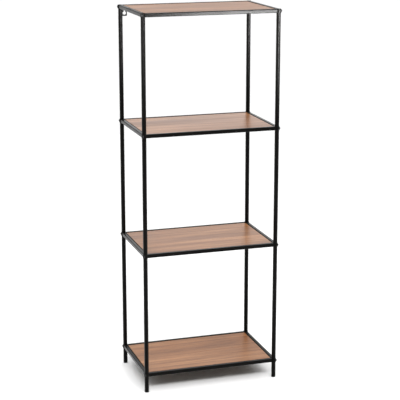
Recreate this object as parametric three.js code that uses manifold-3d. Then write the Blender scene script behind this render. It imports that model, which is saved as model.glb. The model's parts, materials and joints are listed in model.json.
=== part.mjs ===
// A free-standing four-shelf rack: round steel posts, welded shelf frames whose corner sleeves
// slide on the posts and are locked by screws, and wood-effect boards that lie in the frames.
// Millimetres. +Z up, front towards -Y, origin on the floor at the middle of the footprint.

import * as THREE from 'three';
import { mergeVertices } from 'three/addons/utils/BufferGeometryUtils.js';
import Module from 'manifold-3d';

const wasm = await Module();
wasm.setup();

// Driving dimensions
const HEIGHT = 1300;
const POST_SPACING_X = 466; // between post axes, side to side
const POST_SPACING_Y = 292; // between post axes, front to back
const SHELF_HEIGHTS = { bottom: 63, lower: 488, upper: 898, top: 1293.5 }; // middle of each frame
const GAP = 0.3; // clearance left between neighbouring solids

const POST_RADIUS = 7.5;
const POST_WALL = 1.2;
const FOOT_HEIGHT = 4;
const FOOT_STEM = 14;
const CAP_HEIGHT = 1.6;
const CAP_STEM = 9;
const PLUG_EDGE = 0.6; // rounding of the visible edge of a cap or a foot
const PLUG_SLACK = 0.4; // how much thinner a plug's stem is than the tube's bore

const RAIL_HEIGHT = 13;
const RAIL_WIDTH = 12;
const RAIL_CORNER = 2.5;
const RAIL_WALL = 1;
const SLEEVE_RADIUS = 8.8;
const SLEEVE_BORE = 7.85;
const VENT_RADIUS = 1.5; // lets the hollow end rail breathe into its sleeves

const BOARD_THICKNESS = 10;
const BOARD_EDGE_GAP = 2.4; // between the board and the rail, all round
const BOARD_DROP = 1.2; // the board's top below the rail's top
const BOARD_EDGE = 0.5; // eased edge of the board

const TAB_LENGTH = 30;
const TAB_REACH = 14.5; // how far a tab reaches inwards from the rail's middle line
const TAB_THICKNESS = 1.4;
const LONG_RAIL_TABS = [-150, 0, 150];

const SCREW_RADIUS = 2.3;
const SCREW_HOLE = 2.6;
const HEAD_RADIUS = 4.7;
const HEAD_RIM = 0.7;
const HEAD_HEIGHT = 2;
const SOCKET_RADIUS = 1.7;
const SOCKET_DEPTH = 1.2;

const BRACKET_WIDTH = 18;
const BRACKET_THICKNESS = 2;
const BRACKET_OFFSET = 15.9; // from the post's axis to the middle of the bracket
const BRACKET_TOP = 1298;
const BRACKET_BOTTOM = 1260.5;
const BRACKET_CORNER = 2;
const EYE_RADIUS = 5.8; // round part of the keyhole
const EYE_HEIGHT = 9.8; // its centre above the bracket's lower edge
const SLOT_RADIUS = 2.4;
const SLOT_HEIGHT = 18.4; // centre of the slot's upper end above the bracket's lower edge

const ROUND = 24; // sides of a round tube
const SCREW_ROUND = 16;
const STEEL = { color: 0x1b1a19, roughness: 0.5, metalness: 0.35 };
const PLASTIC = { color: 0x121212, roughness: 0.65, metalness: 0 };
const ZINC_BLACK = { color: 0x141414, roughness: 0.38, metalness: 0.6 };
const WALNUT = { color: 0xb07f5f, roughness: 0.5, metalness: 0 };

const CORNERS = {
  front_left: [-1, -1],
  front_right: [1, -1],
  back_left: [-1, 1],
  back_right: [1, 1],
};
const HALF_X = POST_SPACING_X / 2;
const HALF_Y = POST_SPACING_Y / 2;

// Extruded sections are drawn in XY and pushed along Z; these turn them to the axis named.
const TO_X = new THREE.Matrix4().makeBasis(axis(0, 1, 0), axis(0, 0, 1), axis(1, 0, 0));
const TO_Y = new THREE.Matrix4().makeBasis(axis(0, 0, 1), axis(1, 0, 0), axis(0, 1, 0));
const UPRIGHT = new THREE.Matrix4().makeBasis(axis(1, 0, 0), axis(0, 0, 1), axis(0, -1, 0));

function axis(x, y, z) {
  return new THREE.Vector3(x, y, z);
}

// Booleans

function toSolid(geometry) {
  const bare = geometry.clone();
  bare.deleteAttribute('normal');
  bare.deleteAttribute('uv');
  const welded = mergeVertices(bare, 1e-4);
  return new wasm.Manifold(new wasm.Mesh({
    numProp: 3,
    vertProperties: new Float32Array(welded.attributes.position.array),
    triVerts: new Uint32Array(welded.index.array),
  }));
}

function toGeometry(solid) {
  const { vertProperties, triVerts } = solid.getMesh();
  const geometry = new THREE.BufferGeometry();
  geometry.setAttribute('position', new THREE.BufferAttribute(vertProperties, 3));
  geometry.setIndex(new THREE.BufferAttribute(triVerts, 1));
  geometry.computeVertexNormals();
  return geometry;
}

function join(first, ...others) {
  return others.reduce((sum, geometry) => sum.add(toSolid(geometry)), toSolid(first));
}

function cut(solid, ...tools) {
  return toGeometry(tools.reduce((rest, tool) => rest.subtract(toSolid(tool)), solid));
}

// Sections

function circle(radius) {
  return new THREE.Path().absarc(0, 0, radius, 0, 2 * Math.PI);
}

function ring(outer, inner) {
  const shape = new THREE.Shape().absarc(0, 0, outer, 0, 2 * Math.PI);
  shape.holes.push(circle(inner));
  return shape;
}

function roundedRectangle(path, width, height, radius) {
  const x = width / 2 - radius;
  const y = height / 2 - radius;
  path.absarc(x, y, radius, 0, Math.PI / 2);
  path.absarc(-x, y, radius, Math.PI / 2, Math.PI);
  path.absarc(-x, -y, radius, Math.PI, 1.5 * Math.PI);
  path.absarc(x, -y, radius, 1.5 * Math.PI, 2 * Math.PI);
  path.closePath();
  return path;
}

function boxTube(width, height) {
  const shape = roundedRectangle(new THREE.Shape(), width, height, RAIL_CORNER);
  const bore = roundedRectangle(
    new THREE.Path(),
    width - 2 * RAIL_WALL,
    height - 2 * RAIL_WALL,
    RAIL_CORNER - RAIL_WALL,
  );
  shape.holes.push(bore);
  return shape;
}

function extrude(shape, depth, curveSegments) {
  return new THREE.ExtrudeGeometry(shape, { depth, bevelEnabled: false, curveSegments });
}

function centredExtrusion(shape, depth, turn, curveSegments) {
  return extrude(shape, depth, curveSegments).translate(0, 0, -depth / 2).applyMatrix4(turn);
}

function uprightRod(radius, length, x = 0, y = 0) {
  const rod = new THREE.CylinderGeometry(radius, radius, length, ROUND);
  return rod.rotateX(Math.PI / 2).translate(x, y, 0);
}

function turned(points, sides) {
  const profile = points.map(([radius, height]) => new THREE.Vector2(radius, height));
  return new THREE.LatheGeometry(profile, sides);
}

// Posts and what closes their ends

const plugRadius = POST_RADIUS - POST_WALL - PLUG_SLACK;
const postBottom = FOOT_HEIGHT + GAP;
const postTop = HEIGHT - CAP_HEIGHT - GAP;

function postGeometry() {
  const section = ring(POST_RADIUS, POST_RADIUS - POST_WALL);
  return extrude(section, postTop - postBottom, ROUND / 2).translate(0, 0, postBottom);
}

// A turned plug: a head of the given height and radius over a stem, standing on its head.
function plugGeometry(headRadius, headHeight, stemLength) {
  return turned([
    [0, 0],
    [headRadius - PLUG_EDGE, 0],
    [headRadius, PLUG_EDGE],
    [headRadius, headHeight],
    [plugRadius, headHeight],
    [plugRadius, headHeight + stemLength],
    [0, headHeight + stemLength],
  ], ROUND).rotateX(Math.PI / 2);
}

function footGeometry() {
  return plugGeometry(POST_RADIUS, FOOT_HEIGHT, FOOT_STEM);
}

function capGeometry() {
  return plugGeometry(POST_RADIUS, CAP_HEIGHT, CAP_STEM).rotateX(Math.PI).translate(0, 0, HEIGHT);
}

// Shelf frames. The rails are centred on the lines between the posts. The two end pieces carry
// the sleeves; the long rails are coped to fit against them.

const tabHeight = -RAIL_HEIGHT / 2 + TAB_THICKNESS / 2 + 0.1; // middle of a tab
const tabRoot = RAIL_WIDTH / 2 - 2; // where a tab begins, inside the rail's lower corner
const sleeveRail = POST_SPACING_Y - 2 * (SLEEVE_BORE - 1);

// A tab on a rail along X, welded to its inner side, which faces +Y.
function longRailTab(x) {
  const tab = new THREE.BoxGeometry(TAB_LENGTH, TAB_REACH - tabRoot, TAB_THICKNESS);
  return tab.translate(x, (TAB_REACH + tabRoot) / 2, tabHeight);
}

function longRailGeometry() {
  const section = boxTube(RAIL_WIDTH, RAIL_HEIGHT);
  const rail = centredExtrusion(section, POST_SPACING_X - SLEEVE_RADIUS, TO_X, 4);
  const copes = [-HALF_X, HALF_X].map((x) => uprightRod(SLEEVE_RADIUS + GAP, 2 * RAIL_HEIGHT, x));
  return cut(join(rail, ...LONG_RAIL_TABS.map(longRailTab)), ...copes);
}

// The left end piece: its tab faces +X and its sleeves' screw holes face outwards diagonally.
function endPieceGeometry() {
  const rail = centredExtrusion(boxTube(RAIL_HEIGHT, RAIL_WIDTH), sleeveRail, TO_Y, 4);
  const tab = new THREE.BoxGeometry(TAB_REACH - tabRoot, TAB_LENGTH, TAB_THICKNESS);
  tab.translate((TAB_REACH + tabRoot) / 2, 0, tabHeight);
  const ends = [-HALF_Y, HALF_Y];
  const sleeves = ends.map((y) => uprightRod(SLEEVE_RADIUS, RAIL_HEIGHT, 0, y));
  const bores = ends.map((y) => uprightRod(SLEEVE_BORE, 2 * RAIL_HEIGHT, 0, y));
  const holes = ends.map((y) => {
    const hole = new THREE.CylinderGeometry(SCREW_HOLE, SCREW_HOLE, SLEEVE_BORE, SCREW_ROUND);
    hole.rotateZ(Math.PI / 2).translate(SLEEVE_RADIUS, 0, 0);
    return hole.rotateZ(Math.atan2(y, -HALF_Y)).translate(0, y, 0);
  });
  const vent = uprightRod(VENT_RADIUS, sleeveRail).rotateX(Math.PI / 2);
  return cut(join(rail, tab, ...sleeves), ...bores, ...holes, vent);
}

// A button-head locking screw along +X, measured from the post's axis.
function screwGeometry() {
  const tip = POST_RADIUS + GAP;
  const seat = SLEEVE_RADIUS + GAP;
  const crown = seat + HEAD_HEIGHT;
  const domeRise = HEAD_HEIGHT - HEAD_RIM;
  const dome = [0.3, 0.6, 0.9].map((turn) => [
    SOCKET_RADIUS + 0.6 + (HEAD_RADIUS - SOCKET_RADIUS - 0.6) * Math.cos(turn * Math.PI / 2),
    seat + HEAD_RIM + domeRise * Math.sin(turn * Math.PI / 2),
  ]);
  const body = turned([
    [0, tip],
    [SCREW_RADIUS, tip],
    [SCREW_RADIUS, seat],
    [HEAD_RADIUS, seat],
    [HEAD_RADIUS, seat + HEAD_RIM],
    ...dome,
    [0, crown],
  ], SCREW_ROUND);
  const socket = new THREE.CylinderGeometry(SOCKET_RADIUS, SOCKET_RADIUS, 2 * SOCKET_DEPTH, 6);
  return cut(toSolid(body), socket.translate(0, crown, 0)).rotateZ(-Math.PI / 2);
}

// Boards

function boardGeometry() {
  const margin = RAIL_WIDTH / 2 + BOARD_EDGE_GAP;
  const section = roundedRectangle(
    new THREE.Shape(),
    POST_SPACING_Y - 2 * margin,
    BOARD_THICKNESS,
    BOARD_EDGE,
  );
  const middle = RAIL_HEIGHT / 2 - BOARD_DROP - BOARD_THICKNESS / 2;
  return centredExtrusion(section, POST_SPACING_X - 2 * margin, TO_X, 2).translate(0, 0, middle);
}

// Wall brackets: an upright plate with a keyhole, wide below and narrow above.

function keyhole() {
  const meet = Math.asin(SLOT_RADIUS / EYE_RADIUS);
  const path = new THREE.Path();
  path.absarc(0, EYE_HEIGHT, EYE_RADIUS, Math.PI / 2 + meet, 2.5 * Math.PI - meet);
  path.absarc(0, SLOT_HEIGHT, SLOT_RADIUS, 0, Math.PI);
  path.closePath();
  return path;
}

function bracketGeometry() {
  const height = BRACKET_TOP - BRACKET_BOTTOM;
  const plate = roundedRectangle(new THREE.Shape(), BRACKET_WIDTH, height, BRACKET_CORNER);
  const hole = new THREE.Path(keyhole().getPoints(8));
  hole.curves.forEach((line) => {
    line.v1.y -= height / 2;
    line.v2.y -= height / 2;
  });
  plate.holes.push(hole);
  return extrude(plate, BRACKET_THICKNESS, 4)
    .applyMatrix4(UPRIGHT)
    .translate(0, 0, (BRACKET_TOP + BRACKET_BOTTOM) / 2);
}

// Assembly

const materials = {
  steel: new THREE.MeshStandardMaterial(STEEL),
  plastic: new THREE.MeshStandardMaterial(PLASTIC),
  screw: new THREE.MeshStandardMaterial(ZINC_BLACK),
  wood: new THREE.MeshStandardMaterial(WALNUT),
};

function piece(name, geometry, material, x = 0, y = 0, turn = 0) {
  const mesh = new THREE.Mesh(geometry, material);
  mesh.name = name;
  mesh.position.set(x, y, 0);
  mesh.rotation.z = turn;
  return mesh;
}

const rack = new THREE.Group();

const post = postGeometry();
const foot = footGeometry();
const cap = capGeometry();
for (const [corner, [sideX, sideY]] of Object.entries(CORNERS)) {
  const x = sideX * HALF_X;
  const y = sideY * HALF_Y;
  rack.add(piece(`post_${corner}`, post, materials.steel, x, y));
  rack.add(piece(`foot_${corner}`, foot, materials.plastic, x, y));
  rack.add(piece(`post_cap_${corner}`, cap, materials.plastic, x, y));
}

const longRail = longRailGeometry();
const endPiece = endPieceGeometry();
const screw = screwGeometry();
const board = boardGeometry();
for (const [level, height] of Object.entries(SHELF_HEIGHTS)) {
  const shelf = new THREE.Group();
  shelf.position.z = height;
  shelf.add(piece(`${level}_front_rail`, longRail, materials.steel, 0, -HALF_Y));
  shelf.add(piece(`${level}_back_rail`, longRail, materials.steel, 0, HALF_Y, Math.PI));
  shelf.add(piece(`${level}_left_end`, endPiece, materials.steel, -HALF_X));
  shelf.add(piece(`${level}_right_end`, endPiece, materials.steel, HALF_X, 0, Math.PI));
  shelf.add(piece(`${level}_board`, board, materials.wood));
  for (const [corner, [sideX, sideY]] of Object.entries(CORNERS)) {
    const turn = Math.atan2(sideY, sideX);
    const name = `${level}_screw_${corner}`;
    shelf.add(piece(name, screw, materials.screw, sideX * HALF_X, sideY * HALF_Y, turn));
  }
  rack.add(shelf);
}

const bracket = bracketGeometry();
const bracketY = HALF_Y + RAIL_WIDTH / 2 + GAP + BRACKET_THICKNESS;
for (const [side, sign] of [['left', -1], ['right', 1]]) {
  const x = sign * (HALF_X - BRACKET_OFFSET);
  rack.add(piece(`wall_bracket_${side}`, bracket, materials.steel, x, bracketY));
}

export default rack;
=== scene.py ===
"""The look of an open four-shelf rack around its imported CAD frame: tubes, sleeves, welds,
screws, plastic plugs and wood-effect boards, with the floor, the lights and the camera."""

import json
import math
import random

import bmesh
import bpy
from mathutils import Matrix, Vector
from mathutils.geometry import tessellate_polygon


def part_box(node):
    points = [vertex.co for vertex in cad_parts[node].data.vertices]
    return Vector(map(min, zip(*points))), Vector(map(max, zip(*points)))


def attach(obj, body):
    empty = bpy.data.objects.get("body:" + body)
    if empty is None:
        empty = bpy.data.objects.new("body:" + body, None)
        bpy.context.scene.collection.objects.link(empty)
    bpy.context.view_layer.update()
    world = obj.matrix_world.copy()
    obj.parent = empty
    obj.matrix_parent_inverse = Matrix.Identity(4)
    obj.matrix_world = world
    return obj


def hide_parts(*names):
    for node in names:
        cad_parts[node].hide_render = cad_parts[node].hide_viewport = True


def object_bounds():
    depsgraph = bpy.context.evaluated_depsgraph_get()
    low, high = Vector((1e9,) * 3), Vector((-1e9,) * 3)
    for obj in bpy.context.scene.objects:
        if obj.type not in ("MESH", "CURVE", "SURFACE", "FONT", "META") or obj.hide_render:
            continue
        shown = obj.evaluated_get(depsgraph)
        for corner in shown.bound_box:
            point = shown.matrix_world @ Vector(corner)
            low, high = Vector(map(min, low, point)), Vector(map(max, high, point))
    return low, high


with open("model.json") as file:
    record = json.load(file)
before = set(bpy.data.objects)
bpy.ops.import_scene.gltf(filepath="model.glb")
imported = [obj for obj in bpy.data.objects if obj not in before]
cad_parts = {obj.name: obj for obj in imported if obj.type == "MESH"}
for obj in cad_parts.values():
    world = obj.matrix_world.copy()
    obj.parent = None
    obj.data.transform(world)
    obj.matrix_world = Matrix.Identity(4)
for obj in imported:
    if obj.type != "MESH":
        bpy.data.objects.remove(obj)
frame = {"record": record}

CAD_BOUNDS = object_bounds()
MM = 0.001
LEVELS = ("bottom", "lower", "upper", "top")
SIDES = {"left": -1, "right": 1}
ENDS = {"front": -1, "back": 1}
BODY_OF = {node: body for body, nodes in frame["record"]["behaviour"]["bodies"].items()
           for node in nodes}
rng = random.Random(7)


def middle(node):
    """The centre of a node's box, in millimetres."""
    low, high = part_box(node)
    return (low + high) / 2 / MM


def extent(node):
    """The size of a node's box, in millimetres."""
    low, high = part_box(node)
    return (high - low) / MM


# Sizes are in millimetres, read from the frame where it has them.

# Posts, with the plastic plugs in their ends
POST_LOW, POST_HIGH = (corner.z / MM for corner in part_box("post_front_left"))
POST_RADIUS = extent("post_front_left").x / 2
POST_WALL = 1.2
POST_CHAMFER = 0.25
HALF_X = middle("post_front_right").x
HALF_Y = middle("post_back_right").y
TOP_MARGIN = 0.001  # keeps the caps inside the CAD model's box
HEIGHT = CAD_BOUNDS[1].z / MM - TOP_MARGIN
PLUG_RIM = 0.7
PLUG_PLAY = 0.15
STEM_TAPER = (0.8, 1)  # how much narrower the stem's tip is, and over what length
FOOT_STEM = 14
FOOT_CROWN = 0.15
FOOT_SEAM = 0.2
CAP_STEM = 9
CAP_CROWN = 0.35
CAP_SEAM = 0.1

# Shelf frames
LEVEL_HEIGHT = {level: middle(f"{level}_front_rail").z for level in LEVELS}
RAIL_HEIGHT = extent("top_front_rail").z
RAIL_WIDTH = 12
RAIL_CORNER = 2.5
RAIL_WALL = 1
SLEEVE_RADIUS = 8.8
SLEEVE_BORE = 7.75
SLEEVE_EDGE = 0.5
SLEEVE_LEAD = 0.3

# Tabs that carry the boards
TAB_LENGTH = 30
TAB_REACH = 14.5
TAB_THICKNESS = 1.4
TAB_CORNER = 4
TAB_EDGE = 0.25
TAB_LIFT = 0.1
TAB_ROOT = 1.2
TAB_SEAM = 0.4
TAB_PLACES = (-150, 0, 150)

# Weld beads
BEAD_RADIUS = 0.7
BEAD_STEP = 0.9
BEAD_LIMIT = 1.25  # no bead stands prouder than this many times its radius
BEAD_TIP = 0.35
RIPPLE = 0.13
RIPPLE_TURN = 2.1
RIPPLE_SCATTER = 0.06

# Screws
SCREW_GAP = 0.05
SCREW_SHAFT = 2.3
SCREW_SHAFT_LEAD = (0.4, 0.3)
SCREW_SEAT = 0.1  # how far the head is let into the sleeve
SCREW_HEAD = 4.7
SCREW_RISE = 2.3
SCREW_RIM = 0.7
SCREW_EDGE = 0.25
SCREW_SOCKET = 1.7
SCREW_FLAT = 0.75

# Boards
BOARD_CORNER = 1.2
BOARD_EASE = 0.5

# Wall brackets
BRACKET_CORNER = 2.2
BRACKET_EDGE = 0.3
BRACKET_GAP = 0.05
BRACKET_BEAD = 0.8
BRACKET_SEAM = (1.6, 7.5)  # where the weld starts below the top edge, and its length
BRACKET_SEAM_HEIGHT = 0.5
KEYHOLE_EYE = 5.8
KEYHOLE_SLOT = 2.4
KEYHOLE_RISE = 8.6
KEYHOLE_PLACE = 9.8  # the eye's centre above the plate's lower edge

# How finely round things are divided
TUBE_SEGMENTS = 64
PLUG_SEGMENTS = 48
SCREW_SEGMENTS = 36
BEAD_SIDES = 8
SHARP_ANGLE = math.radians(38)


# ---------------------------------------------------------------- mesh helpers

def bridge(bm, first, second):
    """Quads between two closed loops of as many points, or a fan to a single point."""
    count = max(len(first), len(second))
    for i in range(count):
        j = (i + 1) % count
        if len(first) == 1:
            bm.faces.new((first[0], second[i], second[j]))
        elif len(second) == 1:
            bm.faces.new((first[i], second[0], first[j]))
        else:
            bm.faces.new((first[i], second[i], second[j], first[j]))


def loft(bm, loops, closed):
    """Skins a row of closed loops; closed joins the last one to the first."""
    rings = [[bm.verts.new(point) for point in points] for points in loops]
    pairs = list(zip(rings, rings[1:]))
    if closed:
        pairs.append((rings[-1], rings[0]))
    for first, second in pairs:
        bridge(bm, first, second)
    return rings


def circle(radius, z, segments):
    if radius == 0:
        return [Vector((0, 0, z))]
    angles = [2 * math.pi * i / segments for i in range(segments)]
    return [Vector((radius * math.cos(a), radius * math.sin(a), z)) for a in angles]


def moved(loops, matrix):
    return [[matrix @ point for point in loop] for loop in loops]


def lathe(bm, profile, segments, matrix, closed=False):
    """Turns a profile of (radius, height) points round Z."""
    loops = [circle(radius, z, segments) for radius, z in profile]
    loft(bm, moved(loops, matrix), closed)


def quarter_arc(cx, cy, radius, quarter, steps):
    """Points of a quarter circle, anticlockwise from the start of the given quarter."""
    angles = [(quarter + step / steps) * math.pi / 2 for step in range(steps + 1)]
    return [(cx + radius * math.cos(a), cy + radius * math.sin(a)) for a in angles]


def rounded_section(width, height, radius, steps=6):
    """Points of a rounded rectangle, anticlockwise."""
    points = []
    for quarter, (sx, sy) in enumerate(((1, 1), (-1, 1), (-1, -1), (1, -1))):
        cx, cy = sx * (width / 2 - radius), sy * (height / 2 - radius)
        points += quarter_arc(cx, cy, radius, quarter, steps)
    return points


def inset(points, by):
    """A closed outline moved inwards; anticlockwise ones shrink, clockwise ones grow."""
    result = []
    for i, point in enumerate(points):
        before, here, after = Vector(points[i - 1]), Vector(point), Vector(points[(i + 1) % len(points)])
        first, second = (here - before).normalized(), (after - here).normalized()
        normal = Vector((-first.y - second.y, first.x + second.x)).normalized()
        stretch = max(0.5, normal.dot(Vector((-first.y, first.x))))
        result.append(here + normal * by / stretch)
    return result


def slab(bm, outline, low, high, edge, matrix, hole=None):
    """A flat plate with small chamfers round its outline and its hole."""
    flats = {low: [], high: []}
    for points in [outline] + ([hole] if hole else []):
        narrow = inset(points, edge)
        levels = ((narrow, low), (points, low + edge), (points, high - edge), (narrow, high))
        loops = [[matrix @ Vector((x, y, z)) for x, y in shape] for shape, z in levels]
        rings = loft(bm, loops, closed=False)
        flats[low].append((narrow, rings[0]))
        flats[high].append((narrow, rings[-1]))
    for level in (low, high):
        shapes = [[Vector((x, y, 0)) for x, y in narrow] for narrow, _ in flats[level]]
        verts = [vert for _, loop in flats[level] for vert in loop]
        for triangle in tessellate_polygon(shapes):
            bm.faces.new([verts[i] for i in triangle])


def resample(points, step):
    """A closed path at even steps."""
    path = points + [points[0]]
    lengths = [0.0]
    for a, b in zip(path, path[1:]):
        lengths.append(lengths[-1] + (b - a).length)
    count = max(12, round(lengths[-1] / step))
    result, k = [], 0
    for i in range(count):
        target = lengths[-1] * i / count
        while lengths[k + 1] < target:
            k += 1
        share = (target - lengths[k]) / (lengths[k + 1] - lengths[k])
        result.append(path[k].lerp(path[k + 1], share))
    return result


def bead(bm, path, radius, closed=True):
    """A weld bead: a rippled rope of metal along a path of points, tapered where it ends."""
    count = len(path)
    phase = rng.uniform(0, 2 * math.pi)
    loops = []
    for i, point in enumerate(path):
        if closed:
            taper = 1.0
            along = path[(i + 1) % count] - path[i - 1]
        else:
            taper = min(1.0, BEAD_TIP + (1 - BEAD_TIP) * min(i, count - 1 - i) / 2)
            along = path[min(i + 1, count - 1)] - path[max(i - 1, 0)]
        turn = along.normalized().to_track_quat("Z", "X").to_matrix().to_4x4()
        scatter = rng.uniform(-RIPPLE_SCATTER, RIPPLE_SCATTER)
        swell = taper * (1 + RIPPLE * math.sin(phase + RIPPLE_TURN * i) + scatter)
        shape = circle(radius * swell, 0, BEAD_SIDES)
        loops.append([Matrix.Translation(point) @ turn @ p for p in shape])
    if not closed:
        tip = radius * 0.2
        loops.insert(0, [path[0] + (path[0] - path[1]).normalized() * tip])
        loops.append([path[-1] + (path[-1] - path[-2]).normalized() * tip])
    loft(bm, loops, closed)


def make_piece(name, bm, materials, node):
    """Turns a mesh drawn in millimetres into a piece that stands for this node."""
    bmesh.ops.recalc_face_normals(bm, faces=bm.faces)
    bmesh.ops.scale(bm, vec=(MM, MM, MM), verts=bm.verts)
    mesh = bpy.data.meshes.new(name)
    bm.to_mesh(mesh)
    bm.free()
    for material in materials:
        mesh.materials.append(material)
    mesh.shade_smooth()
    mesh.set_sharp_from_angle(angle=SHARP_ANGLE)
    piece = bpy.data.objects.new(name, mesh)
    bpy.context.scene.collection.objects.link(piece)
    weighted = piece.modifiers.new("weighted normals", "WEIGHTED_NORMAL")
    weighted.keep_sharp = True
    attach(piece, BODY_OF[node])
    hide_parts(node)


# ---------------------------------------------------------------- node helpers

def add(tree, kind, inputs=None, **settings):
    """Adds a node; each input is a socket to link from or a value."""
    made = tree.nodes.new(kind)
    for key, value in settings.items():
        setattr(made, key, value)
    for key, value in (inputs or {}).items():
        if isinstance(value, bpy.types.NodeSocket):
            tree.links.new(value, made.inputs[key])
        else:
            made.inputs[key].default_value = value
    return made


def new_material(name, **constants):
    """A material with these values on its shader's own sockets."""
    material = bpy.data.materials.new(name)
    material.use_nodes = True
    tree = material.node_tree
    shader = tree.nodes["Principled BSDF"]
    for key, value in constants.items():
        shader.inputs[key.replace("_", " ")].default_value = value
    coords = add(tree, "ShaderNodeTexCoord").outputs["Object"]
    return material, tree, shader, coords


def noise(tree, vector, scale, detail=2.0, roughness=0.5, distortion=0.0):
    values = {"Vector": vector, "Scale": scale, "Detail": detail,
              "Roughness": roughness, "Distortion": distortion}
    return add(tree, "ShaderNodeTexNoise", values).outputs["Fac"]


def mapped(tree, vector, scale=(1, 1, 1), location=(0, 0, 0)):
    values = {"Vector": vector, "Scale": scale, "Location": location}
    return add(tree, "ShaderNodeMapping", values).outputs["Vector"]


def spread(tree, value, low, high, to_low, to_high):
    """Maps low..high to to_low..to_high, clamped."""
    values = {"Value": value, "From Min": low, "From Max": high,
              "To Min": to_low, "To Max": to_high}
    return add(tree, "ShaderNodeMapRange", values).outputs["Result"]


def mixed(tree, factor, first, second):
    """A mix of two colours, whose sockets 0, 6 and 7 are its factor, A and B."""
    inputs = {0: factor, 6: first, 7: second}
    return add(tree, "ShaderNodeMix", inputs, data_type="RGBA").outputs[2]


def bumped(tree, height, strength, distance, below=None):
    values = {"Height": height, "Strength": strength, "Distance": distance}
    if below is not None:
        values["Normal"] = below
    return add(tree, "ShaderNodeBump", values).outputs["Normal"]


# ------------------------------------------------------------------- materials

def coated(name, dark, light, rough, peel_size, peel_depth, **constants):
    """Powder coat or moulded plastic: even colour with cloudy gloss over a pebbled skin.
    The skin's size and depth are in millimetres."""
    material, tree, shader, coords = new_material(name, **constants)
    clouds = noise(tree, coords, 22, 3)
    peel = noise(tree, coords, 1 / (peel_size * MM), 1.5)
    grit = noise(tree, coords, 4 / (peel_size * MM), 1)
    speck = [c * 2.2 for c in light[:3]] + [1]
    colour = mixed(tree, spread(tree, clouds, 0.35, 0.65, 0, 1), dark, light)
    colour = mixed(tree, spread(tree, grit, 0.62, 0.75, 0, 0.35), colour, speck)
    tree.links.new(colour, shader.inputs["Base Color"])
    gloss = spread(tree, clouds, 0.3, 0.7, *rough)
    tree.links.new(gloss, shader.inputs["Roughness"])
    normal = bumped(tree, peel, 0.5, peel_depth * MM)
    normal = bumped(tree, grit, 0.25, peel_depth * MM * 0.3, normal)
    tree.links.new(normal, shader.inputs["Normal"])
    return material


# Colours are linear.
WALNUT_DARK = (0.130, 0.047, 0.017, 1)
WALNUT_MIDDLE = (0.270, 0.118, 0.047, 1)
WALNUT_LIGHT = (0.395, 0.190, 0.084, 1)
WALNUT_WARM = (0.33, 0.130, 0.040, 1)
WALNUT_BAND = (0.125, 0.048, 0.02, 1)
WALNUT_FIBRE = (0.40, 0.20, 0.095, 1)
WALNUT_PORE = (0.07, 0.028, 0.012, 1)


def walnut(name, shift):
    """Satin foil printed with straight walnut grain along X; shift picks a part of the print."""
    material, tree, shader, coords = new_material(name, IOR=1.45)
    place = mapped(tree, coords, location=shift)
    figure = noise(tree, mapped(tree, place, (1.5, 19, 19)), 1, 4, 0.55, 0.8)
    warmth = noise(tree, mapped(tree, place, (3.1, 8, 8)), 1, 2)
    bands = noise(tree, mapped(tree, place, (2.5, 75, 75)), 1, 5, 0.6, 0.4)
    fibres = noise(tree, mapped(tree, place, (14, 520, 520)), 1, 3, 0.6)
    pores = noise(tree, mapped(tree, place, (48, 1500, 1500)), 1, 2, 0.5)
    ramp = add(tree, "ShaderNodeValToRGB", {"Fac": spread(tree, figure, 0.33, 0.67, 0, 1)})
    stops = ramp.color_ramp.elements
    stops[0].color = WALNUT_DARK
    stops[1].color = WALNUT_LIGHT
    stops.new(0.5).color = WALNUT_MIDDLE
    colour = ramp.outputs["Color"]
    colour = mixed(tree, spread(tree, warmth, 0.4, 0.65, 0, 0.45), colour, WALNUT_WARM)
    colour = mixed(tree, spread(tree, bands, 0.42, 0.65, 0, 0.85), colour, WALNUT_BAND)
    colour = mixed(tree, spread(tree, fibres, 0.4, 0.7, 0, 0.42), colour, WALNUT_FIBRE)
    colour = mixed(tree, spread(tree, pores, 0.58, 0.68, 0, 0.55), colour, WALNUT_PORE)
    tree.links.new(colour, shader.inputs["Base Color"])
    gloss = spread(tree, bands, 0.3, 0.7, 0.27, 0.37)
    tree.links.new(gloss, shader.inputs["Roughness"])
    normal = bumped(tree, fibres, 0.25, 0.08 * MM)
    normal = bumped(tree, pores, 0.3, 0.05 * MM, normal)
    tree.links.new(normal, shader.inputs["Normal"])
    return material


def backing_paper():
    """Plain brown paper that seals a board's underside."""
    material, tree, shader, coords = new_material("backing_paper", IOR=1.4)
    cloud = noise(tree, coords, 14, 4, 0.6)
    fleck = noise(tree, mapped(tree, coords, (260, 900, 900)), 1, 3)
    dark, light, flecked = (0.12, 0.098, 0.08, 1), (0.16, 0.135, 0.112, 1), (0.08, 0.063, 0.05, 1)
    colour = mixed(tree, spread(tree, cloud, 0.35, 0.65, 0, 1), dark, light)
    colour = mixed(tree, spread(tree, fleck, 0.55, 0.72, 0, 0.4), colour, flecked)
    tree.links.new(colour, shader.inputs["Base Color"])
    tree.links.new(spread(tree, cloud, 0.3, 0.7, 0.6, 0.75), shader.inputs["Roughness"])
    tree.links.new(bumped(tree, fleck, 0.3, 0.06 * MM), shader.inputs["Normal"])
    return material


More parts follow.
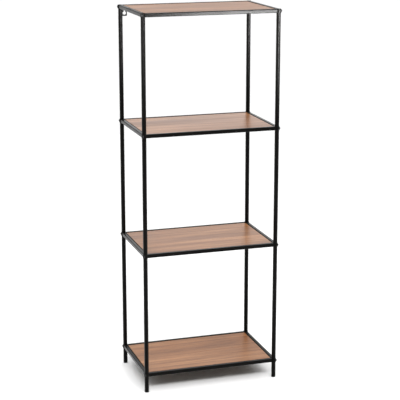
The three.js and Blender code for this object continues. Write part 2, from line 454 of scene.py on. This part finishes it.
def edge_band_and_painted_gap_shade():
    """The dark strip on a board's edges, scuffed in places; its darkness is partly the band's own colour
    and partly painted shade for the shadow line in the gap between a board and its rails.
    """
    tint = (0.12, 0.11, 0.1, 1)
    material, tree, shader, coords = new_material("edge_band_and_painted_gap_shade", IOR=1.4, Specular_Tint=tint)
    grain = noise(tree, mapped(tree, coords, (30, 30, 700)), 1, 3)
    scuff = noise(tree, coords, 60, 4, 0.7)
    # Near-black colours: partly the edge band's own dark tone, partly painted shade standing for the
    # shadow in the gap between board and rail.
    dark, light, scuffed = (0.009, 0.005, 0.003, 1), (0.016, 0.009, 0.006, 1), (0.036, 0.022, 0.014, 1)
    colour = mixed(tree, grain, dark, light)
    colour = mixed(tree, spread(tree, scuff, 0.66, 0.74, 0, 0.5), colour, scuffed)
    tree.links.new(colour, shader.inputs["Base Color"])
    tree.links.new(spread(tree, scuff, 0.3, 0.7, 0.42, 0.6), shader.inputs["Roughness"])
    tree.links.new(bumped(tree, grain, 0.3, 0.05 * MM), shader.inputs["Normal"])
    return material


STEEL = coated(
    "black_powder_coat", (0.0012, 0.0011, 0.001, 1), (0.0024, 0.0022, 0.002, 1), rough=(0.28, 0.33),
    peel_size=1.1, peel_depth=0.014, IOR=1.4, Specular_Tint=(0.14, 0.14, 0.14, 1))
BRACKET_COAT = coated(
    "matte_black_coat", (0.003, 0.003, 0.003, 1), (0.005, 0.005, 0.005, 1), rough=(0.52, 0.62),
    peel_size=1.1, peel_depth=0.014, IOR=1.4, Specular_Tint=(0.2, 0.2, 0.2, 1))
PLASTIC = coated(
    "black_moulded_plastic", (0.005, 0.005, 0.005, 1), (0.008, 0.008, 0.008, 1), rough=(0.5, 0.62),
    peel_size=0.5, peel_depth=0.02, IOR=1.4, Specular_Tint=(0.5, 0.5, 0.5, 1))
SCREW = coated(
    "black_zinc", (0.02, 0.02, 0.021, 1), (0.03, 0.03, 0.031, 1), rough=(0.26, 0.4),
    peel_size=0.7, peel_depth=0.01, Metallic=0.7)
BACKING = backing_paper()
EDGING_AND_PAINTED_GAP_SHADE = edge_band_and_painted_gap_shade()
GRAIN_SHIFTS = {"bottom": (0.31, 1.7, 0.0), "lower": (2.14, 0.63, 0.4),
                "upper": (4.4, 2.9, 1.1), "top": (6.3, 4.2, 2.3)}


# ------------------------------------------------------- posts, caps and feet

def post_profile():
    outer, inner, chamfer = POST_RADIUS, POST_RADIUS - POST_WALL, POST_CHAMFER
    return [(outer - chamfer, POST_LOW), (outer, POST_LOW + chamfer),
            (outer, POST_HIGH - chamfer), (outer - chamfer, POST_HIGH),
            (inner + chamfer, POST_HIGH), (inner, POST_HIGH - chamfer),
            (inner, POST_LOW + chamfer), (inner + chamfer, POST_LOW)]


def plug_profile(height, stem, crown):
    """A plug standing on its head: a slightly crowned disc, a rounded rim and a stem."""
    flat = POST_RADIUS - PLUG_RIM
    bore = POST_RADIUS - POST_WALL - PLUG_PLAY
    narrowing, taper = STEM_TAPER
    face = [(r * flat, crown * r * r) for r in (0, 0.25, 0.5, 0.75, 1)]
    turn = [math.radians(a) for a in (22.5, 45, 67.5, 90)]
    corner = [(flat + PLUG_RIM * math.sin(a), crown + PLUG_RIM * (1 - math.cos(a))) for a in turn]
    return face + corner + [(POST_RADIUS, height), (bore, height), (bore, height + stem - taper),
                            (bore - narrowing, height + stem), (0, height + stem)]


for end, end_sign in ENDS.items():
    for side, side_sign in SIDES.items():
        corner = f"{end}_{side}"
        place = Matrix.Translation((side_sign * HALF_X, end_sign * HALF_Y, 0))
        bm = bmesh.new()
        lathe(bm, post_profile(), TUBE_SEGMENTS, place, closed=True)
        make_piece(f"post_tube_{corner}", bm, [STEEL], f"post_{corner}")
        bm = bmesh.new()
        foot = plug_profile(POST_LOW - FOOT_SEAM, FOOT_STEM, FOOT_CROWN)
        lathe(bm, foot, PLUG_SEGMENTS, place)
        make_piece(f"foot_plug_{corner}", bm, [PLASTIC], f"foot_{corner}")
        bm = bmesh.new()
        flip = Matrix.Translation((0, 0, HEIGHT)) @ Matrix.Rotation(math.pi, 4, "X")
        cap = plug_profile(HEIGHT - POST_HIGH - CAP_SEAM, CAP_STEM, CAP_CROWN)
        lathe(bm, cap, PLUG_SEGMENTS, place @ flip)
        make_piece(f"cap_plug_{corner}", bm, [PLASTIC], f"post_cap_{corner}")


# ----------------------------------------------------------------- shelf frames

def sunk(point, matrix):
    """A point of a weld's path, kept so far inside the tube's height that its bead is too."""
    centre = matrix.translation.z
    limit = RAIL_HEIGHT / 2 - BEAD_LIMIT * BEAD_RADIUS
    return Vector((point.x, point.y, max(centre - limit, min(centre + limit, point.z))))


def coped_rail(bm, half_length, matrix):
    """A square tube along X whose two ends are coped to the sleeves, with its welds."""
    loops = []
    for wall in (0, RAIL_WALL):
        section = rounded_section(RAIL_WIDTH - 2 * wall, RAIL_HEIGHT - 2 * wall, RAIL_CORNER - wall)
        ends = [half_length - math.sqrt(SLEEVE_RADIUS ** 2 - y * y) for y, _ in section]
        for sign in (-1, 1):
            loops.append([Vector((sign * x, y, z)) for x, (y, z) in zip(ends, section)])
    left, right, inner_left, inner_right = moved(loops, matrix)
    loft(bm, [left, right, inner_right, inner_left], closed=True)
    for path in (left, right):
        bead(bm, [sunk(point, matrix) for point in resample(path, BEAD_STEP)], BEAD_RADIUS)


def tab(bm, x, matrix):
    """A small plate under the board, welded to the rail's inner side, which faces +Y."""
    low = TAB_LIFT - RAIL_HEIGHT / 2
    root = RAIL_WIDTH / 2 - TAB_ROOT
    left, right = x - TAB_LENGTH / 2, x + TAB_LENGTH / 2
    reach = TAB_REACH - TAB_CORNER
    outline = quarter_arc(right - TAB_CORNER, reach, TAB_CORNER, 0, 6)
    outline += quarter_arc(left + TAB_CORNER, reach, TAB_CORNER, 1, 6)
    outline += [(left, root), (right, root)]
    slab(bm, outline, low, low + TAB_THICKNESS, TAB_EDGE, matrix)
    steps = 24
    seam = [(x + TAB_LENGTH * (i / steps - 0.5), RAIL_WIDTH / 2, low + TAB_SEAM) for i in range(1, steps)]
    bead(bm, [matrix @ Vector(point) for point in seam], BEAD_RADIUS, closed=False)


def sleeve_profile():
    """A collar with rounded outer edges and a small lead-in at both ends of its bore."""
    half, edge, soft = RAIL_HEIGHT / 2, SLEEVE_EDGE, 0.15
    outer, bore, lead = SLEEVE_RADIUS, SLEEVE_BORE, SLEEVE_LEAD
    return [(outer, -half + edge), (outer, half - edge), (outer - soft, half - soft),
            (outer - edge, half), (bore + lead, half), (bore, half - lead),
            (bore, -half + lead), (bore + lead, -half), (outer - edge, -half),
            (outer - soft, -half + soft)]


QUARTER_TURN = Matrix.Rotation(math.pi / 2, 4, "Z")
HALF_TURN = Matrix.Rotation(math.pi, 4, "Z")

for level in LEVELS:
    lift = Matrix.Translation((0, 0, LEVEL_HEIGHT[level]))
    for end, sign in ENDS.items():
        turn = HALF_TURN if sign > 0 else Matrix.Identity(4)
        place = lift @ Matrix.Translation((0, sign * HALF_Y, 0)) @ turn
        bm = bmesh.new()
        coped_rail(bm, HALF_X, place)
        for x in TAB_PLACES:
            tab(bm, x, place)
        make_piece(f"{level}_{end}_square_tube", bm, [STEEL], f"{level}_{end}_rail")
    for side, sign in SIDES.items():
        turn = QUARTER_TURN.inverted() if sign < 0 else QUARTER_TURN
        place = lift @ Matrix.Translation((sign * HALF_X, 0, 0)) @ turn
        bm = bmesh.new()
        coped_rail(bm, HALF_Y, place)
        tab(bm, 0, place)
        for end_sign in ENDS.values():
            sleeve_place = place @ Matrix.Translation((end_sign * HALF_Y, 0, 0))
            lathe(bm, sleeve_profile(), TUBE_SEGMENTS, sleeve_place, closed=True)
        make_piece(f"{level}_{side}_end_tube", bm, [STEEL], f"{level}_{side}_end")


# ----------------------------------------------------------------------- screws

def hexagon(radius, z):
    """A hexagon with as many points as the screw's circles, so that the two can be joined."""
    points = []
    for i in range(SCREW_SEGMENTS):
        angle = 2 * math.pi * i / SCREW_SEGMENTS
        facet = (angle + math.pi / 6) % (math.pi / 3) - math.pi / 6
        reach = radius * math.cos(math.pi / 6) / math.cos(facet)
        points.append(Vector((reach * math.cos(angle), reach * math.sin(angle), z)))
    return points


def screw(bm, matrix, turn):
    """A button-head screw along +Z with a hexagon socket, from its tip to its crown."""
    tip, seat = POST_RADIUS + SCREW_GAP, SLEEVE_RADIUS - SCREW_SEAT
    crown, shoulder = SLEEVE_RADIUS + SCREW_RISE, SLEEVE_RADIUS - SCREW_SEAT + SCREW_RIM
    narrowing, taper = SCREW_SHAFT_LEAD
    profile = [(0, tip), (SCREW_SHAFT - narrowing, tip), (SCREW_SHAFT, tip + taper), (SCREW_SHAFT, seat),
               (SCREW_HEAD - SCREW_EDGE, seat), (SCREW_HEAD, seat + SCREW_EDGE), (SCREW_HEAD, shoulder)]
    flat = SCREW_SOCKET + SCREW_FLAT
    for step in range(1, 8):
        angle = step / 8 * math.pi / 2
        profile.append((flat + (SCREW_HEAD - flat) * math.cos(angle),
                        shoulder + (crown - shoulder) * math.sin(angle)))
    profile.append((flat, crown))
    loops = [circle(radius, z, SCREW_SEGMENTS) for radius, z in profile]
    # The socket: a chamfered mouth, straight walls and a shallow cone for a floor
    for scale, depth in ((1.12, 0), (1.0, 0.15), (1.0, 1.3), (0.85, 1.35)):
        loops.append(hexagon(SCREW_SOCKET * scale, crown - depth))
    loops.append([Vector((0, 0, crown - 1.5))])
    loft(bm, moved(loops, matrix @ Matrix.Rotation(turn, 4, "Z")), closed=False)


for level in LEVELS:
    for end, end_sign in ENDS.items():
        for side, side_sign in SIDES.items():
            corner = f"{end}_{side}"
            outward = Vector((side_sign, end_sign, 0)).to_track_quat("Z", "Y").to_matrix().to_4x4()
            place = Matrix.Translation((side_sign * HALF_X, end_sign * HALF_Y, LEVEL_HEIGHT[level]))
            bm = bmesh.new()
            screw(bm, place @ outward, rng.uniform(0, math.pi / 3))
            make_piece(f"{level}_button_screw_{corner}", bm, [SCREW],
                       f"{level}_screw_{corner}")


# ----------------------------------------------------------------------- boards

# A board's material slots
FOIL_SIDE, BACKING_SIDE, EDGE_SIDE = range(3)


def board(bm, low, high):
    """A board with eased edges and slightly rounded corners."""
    size, centre = high - low, (high + low) / 2
    plan = rounded_section(size.x, size.y, BOARD_CORNER, 4)
    steps = []
    for angle in (0, 30, 60, 90):
        a = math.radians(angle)
        steps.append((BOARD_EASE * (1 - math.sin(a)), low.z + BOARD_EASE * (1 - math.cos(a))))
    steps += [(ease, high.z - (z - low.z)) for ease, z in reversed(steps)]
    loops = []
    for ease, z in steps:
        points = [(x * (1 - 2 * ease / size.x), y * (1 - 2 * ease / size.y)) for x, y in plan]
        loops.append([Vector((centre.x + x, centre.y + y, z)) for x, y in points])
    rings = loft(bm, loops, closed=False)
    for face in bm.faces:
        # The edges get the dark band, whose darkness is partly painted shade for the gap between the
        # board and its rails.
        face.material_index = EDGE_SIDE
    bm.faces.new(rings[0]).material_index = BACKING_SIDE
    bm.faces.new(rings[-1]).material_index = FOIL_SIDE


for level in LEVELS:
    low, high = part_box(f"{level}_board")
    bm = bmesh.new()
    board(bm, low / MM, high / MM)
    foil = walnut(f"walnut_foil_{level}", GRAIN_SHIFTS[level])
    make_piece(f"{level}_foil_board", bm, [foil, BACKING, EDGING_AND_PAINTED_GAP_SHADE], f"{level}_board")


# ---------------------------------------------------------------- wall brackets

def keyhole(eye, slot, rise):
    """Keyhole outline about the eye's centre, clockwise, with the slot going up."""
    meet = math.asin(slot / eye)
    points = []
    for step in range(33):
        angle = math.pi / 2 - meet - (2 * math.pi - 2 * meet) * step / 32
        points.append((eye * math.cos(angle), eye * math.sin(angle)))
    for step in range(13):
        angle = math.pi - math.pi * step / 12
        points.append((slot * math.cos(angle), rise + slot * math.sin(angle)))
    return points


for side in SIDES:
    node = f"wall_bracket_{side}"
    low, high = (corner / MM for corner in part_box(node))
    centre, size = (low + high) / 2, high - low
    # Plate coordinates: x to the left seen from the front, y up, z towards the wall
    stand = Matrix.Translation((centre.x, HALF_Y + RAIL_WIDTH / 2 + BRACKET_GAP, centre.z))
    stand = stand @ Matrix.Rotation(math.pi, 4, "Z") @ Matrix.Rotation(math.pi / 2, 4, "X")
    outline = rounded_section(size.x, size.z, BRACKET_CORNER)
    hole = [(x, y + KEYHOLE_PLACE - size.z / 2)
            for x, y in keyhole(KEYHOLE_EYE, KEYHOLE_SLOT, KEYHOLE_RISE)]
    bm = bmesh.new()
    slab(bm, outline, 0, size.y, BRACKET_EDGE, stand, hole)
    start, length = BRACKET_SEAM
    for sign in (-1, 1):
        heights = [size.z / 2 - start - length * i / 12 for i in range(13)]
        seam = [Vector((sign * size.x / 2, y, BRACKET_SEAM_HEIGHT)) for y in heights]
        bead(bm, [stand @ point for point in seam], BRACKET_BEAD, closed=False)
    make_piece(f"{side}_keyhole_plate", bm, [BRACKET_COAT], node)


# ----------------------------------------------------- floor, lights and camera

# Metres, watts and degrees, but millimetres for the camera's sensor and focal length
FLOOR_HALF_SIZE = 45
HONEYCOMB = 34
OPEN = 180
SKY_FADE = (0.45, 0.8)  # sines of the elevations between which the sky brightens
SENSOR_WIDTH = 36
FOCAL_LENGTH = 117.1
CAMERA_PLACE = (-1.3341, -4.1920, 1.7428)
CAMERA_TILT = 14.2
CAMERA_TURN = 17.73


def pale_floor():
    material, tree, shader, coords = new_material("pale_floor", IOR=1.3, Roughness=0.7)
    drift = noise(tree, coords, 0.7, 2)
    colour = mixed(tree, drift, (0.86, 0.86, 0.86, 1), (0.88, 0.88, 0.88, 1))
    tree.links.new(colour, shader.inputs["Base Color"])
    bm = bmesh.new()
    bmesh.ops.create_grid(bm, x_segments=2, y_segments=2, size=FLOOR_HALF_SIZE)
    mesh = bpy.data.meshes.new("floor")
    bm.to_mesh(mesh)
    bm.free()
    mesh.materials.append(material)
    floor = bpy.data.objects.new("floor", mesh)
    bpy.context.scene.collection.objects.link(floor)


def surroundings(horizon, zenith):
    """A white backdrop all round, whose light comes mostly from overhead."""
    world = bpy.data.worlds.new("studio")
    bpy.context.scene.world = world
    world.use_nodes = True
    tree = world.node_tree
    background = tree.nodes["Background"]
    background.inputs["Color"].default_value = (1, 1, 1, 1)
    direction = add(tree, "ShaderNodeTexCoord").outputs["Generated"]
    height = add(tree, "ShaderNodeSeparateXYZ", {"Vector": direction}).outputs["Z"]
    light = spread(tree, height, *SKY_FADE, horizon, zenith)
    seen = add(tree, "ShaderNodeLightPath").outputs["Is Camera Ray"]
    strength = add(tree, "ShaderNodeMix", {"Factor": seen, "A": light, "B": 1.0}).outputs["Result"]
    tree.links.new(strength, background.inputs["Strength"])


def softbox(name, place, target, size, power, beam):
    """A rectangular lamp at place that faces target; a narrow beam is a honeycombed one."""
    lamp = bpy.data.lights.new(name, "AREA")
    lamp.shape = "RECTANGLE"
    lamp.size, lamp.size_y = size
    lamp.energy = power
    lamp.spread = math.radians(beam)
    lamp_object = bpy.data.objects.new(name, lamp)
    lamp_object.location = place
    aim = Vector(target) - Vector(place)
    lamp_object.rotation_euler = aim.to_track_quat("-Z", "Y").to_euler()
    lamp_object.visible_camera = False
    bpy.context.scene.collection.objects.link(lamp_object)


pale_floor()
surroundings(horizon=0.15, zenith=1.92)
# The low front pair puts the sheen on the top rail and the upper posts.
softbox("softbox_right", place=(0.62, -1.3, 1.02), target=(0.22, 0, 1.48), size=(0.7, 0.34),
        power=12, beam=HONEYCOMB)
softbox("softbox_left", place=(-0.8, -1.2, 1.02), target=(-0.15, 0, 1.45), size=(1.1, 0.34),
        power=2.4, beam=HONEYCOMB)
# The back one glances off the boards, and the high front one lights the whole rack.
softbox("softbox_back", place=(0.65, 2.0, 1.3), target=(0, 0, 1.1), size=(2.4, 0.86),
        power=8, beam=OPEN)
softbox("softbox_front", place=(-0.4, -3.3, 3.4), target=(0, 0, 0.2), size=(4.2, 0.9),
        power=178, beam=OPEN)

camera = bpy.data.objects.new("camera", bpy.data.cameras.new("camera"))
camera.data.sensor_width = SENSOR_WIDTH
camera.data.lens = FOCAL_LENGTH
camera.location = CAMERA_PLACE
camera.rotation_euler = (math.radians(90 - CAMERA_TILT), 0, math.radians(-CAMERA_TURN))
bpy.context.scene.collection.objects.link(camera)
bpy.context.scene.camera = camera
bpy.context.scene.view_settings.view_transform = "Standard"
